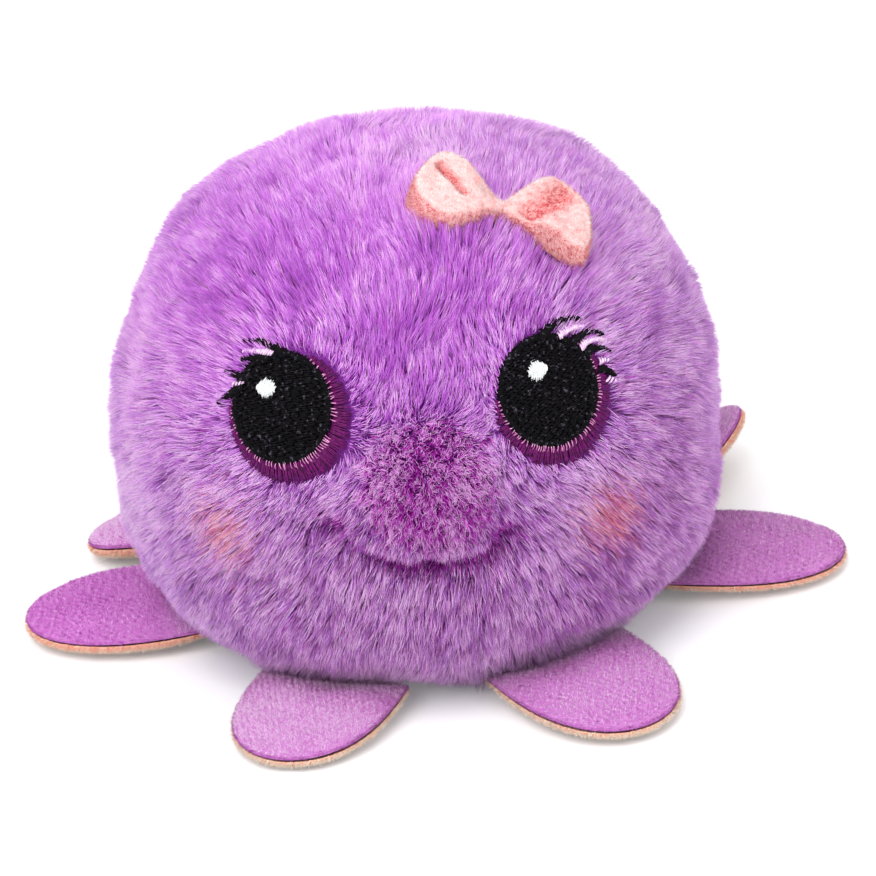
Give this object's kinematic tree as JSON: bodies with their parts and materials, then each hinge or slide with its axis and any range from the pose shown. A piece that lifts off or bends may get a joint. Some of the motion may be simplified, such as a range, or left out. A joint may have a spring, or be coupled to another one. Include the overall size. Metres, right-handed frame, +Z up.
{
  "type": "plush octopus",
  "caption": "Round palm-size plush octopus with a furry ball body, flat pillow legs that flop about their root seams, embroidered lashed eyes, a stitched smile and a small fabric bow.",
  "frame": {"origin": "on the table under the middle of the whole toy, legs included; the body axis stands 0.4 mm to +X and 2.0 mm to -Y of it", "axes": "+Z up out of the table, the face looks along -Y, +X to the right of someone who faces it"},
  "size_m": [0.1342, 0.1184, 0.0823],
  "materials": {
    "long_fur": "long soft faux-fur pile, lilac with magenta roots",
    "short_pile": "short dense plush pile",
    "sole_pile": "short dense plush pile, peach pink",
    "filling": "loose polyester fibre",
    "pouch": "plain woven bag with plastic pellets",
    "black_thread": "satin-stitched embroidery thread",
    "plum_thread": "satin-stitched embroidery thread",
    "white_thread": "satin-stitched embroidery thread",
    "smile_thread": "pulled sewing thread",
    "bow": "short dense plush pile, peach pink"
  },
  "bodies": {
    "root": {"face_panel": "long_fur", "right_panel": "long_fur", "left_panel": "long_fur", "base_panel": "long_fur", "pellet_pouch": "pouch", "body_filling": "filling", "left_eye_pupil_and_lashes": "black_thread", "left_eye_rim": "plum_thread", "left_eye_glint": "white_thread", "right_eye_pupil_and_lashes": "black_thread", "right_eye_rim": "plum_thread", "right_eye_glint": "white_thread", "smile_thread": "smile_thread", "bow_left_lobe": "bow", "bow_right_lobe": "bow", "bow_tie_thread": "bow"},
    "front_left_leg": {"front_left_leg_top": "short_pile", "front_left_leg_sole": "sole_pile", "front_left_leg_filling": "filling"},
    "front_right_leg": {"front_right_leg_top": "short_pile", "front_right_leg_sole": "sole_pile", "front_right_leg_filling": "filling"},
    "side_left_leg": {"side_left_leg_top": "short_pile", "side_left_leg_sole": "sole_pile", "side_left_leg_filling": "filling"},
    "side_right_leg": {"side_right_leg_top": "short_pile", "side_right_leg_sole": "sole_pile", "side_right_leg_filling": "filling"},
    "back_left_leg": {"back_left_leg_top": "short_pile", "back_left_leg_sole": "sole_pile", "back_left_leg_filling": "filling"},
    "back_right_leg": {"back_right_leg_top": "short_pile", "back_right_leg_sole": "sole_pile", "back_right_leg_filling": "filling"},
    "rear_left_leg": {"rear_left_leg_top": "short_pile", "rear_left_leg_sole": "sole_pile", "rear_left_leg_filling": "filling"},
    "rear_right_leg": {"rear_right_leg_top": "short_pile", "rear_right_leg_sole": "sole_pile", "rear_right_leg_filling": "filling"}
  },
  "joints": [
    {"name": "front_left_leg_root_seam", "type": "hinge", "parent": "root", "child": "front_left_leg", "pos_m": [-0.0166, -0.03472, 0.0037], "axis": [-0.887, 0.4617, 0], "range_deg": [-20, 20], "stiffness_Nm_per_rad": 0.004},
    {"name": "front_right_leg_root_seam", "type": "hinge", "parent": "root", "child": "front_right_leg", "pos_m": [0.01772, -0.03457, 0.0037], "axis": [-0.8829, -0.4695, 0], "range_deg": [-20, 20], "stiffness_Nm_per_rad": 0.004},
    {"name": "side_left_leg_root_seam", "type": "hinge", "parent": "root", "child": "side_left_leg", "pos_m": [-0.03641, -0.00363, 0.0037], "axis": [-0.0436, 0.999, 0], "range_deg": [-20, 20], "stiffness_Nm_per_rad": 0.004},
    {"name": "side_right_leg_root_seam", "type": "hinge", "parent": "root", "child": "side_right_leg", "pos_m": [0.03719, -0.00459, 0.0037], "axis": [-0.0698, -0.9976, 0], "range_deg": [-20, 20], "stiffness_Nm_per_rad": 0.004},
    {"name": "back_left_leg_root_seam", "type": "hinge", "parent": "root", "child": "back_left_leg", "pos_m": [-0.02978, 0.01912, 0.0037], "axis": [0.5736, 0.8192, 0], "range_deg": [-25, 12], "stiffness_Nm_per_rad": 0.004},
    {"name": "back_right_leg_root_seam", "type": "hinge", "parent": "root", "child": "back_right_leg", "pos_m": [0.03133, 0.01805, 0.0037], "axis": [0.5446, -0.8387, 0], "range_deg": [-30, 12], "stiffness_Nm_per_rad": 0.004},
    {"name": "rear_left_leg_root_seam", "type": "hinge", "parent": "root", "child": "rear_left_leg", "pos_m": [-0.01128, 0.03293, 0.0037], "axis": [0.9483, 0.3173, 0], "range_deg": [-20, 20], "stiffness_Nm_per_rad": 0.004},
    {"name": "rear_right_leg_root_seam", "type": "hinge", "parent": "root", "child": "rear_right_leg", "pos_m": [0.01211, 0.03293, 0.0037], "axis": [0.9483, -0.3173, 0], "range_deg": [-20, 20], "stiffness_Nm_per_rad": 0.004}
  ]
}
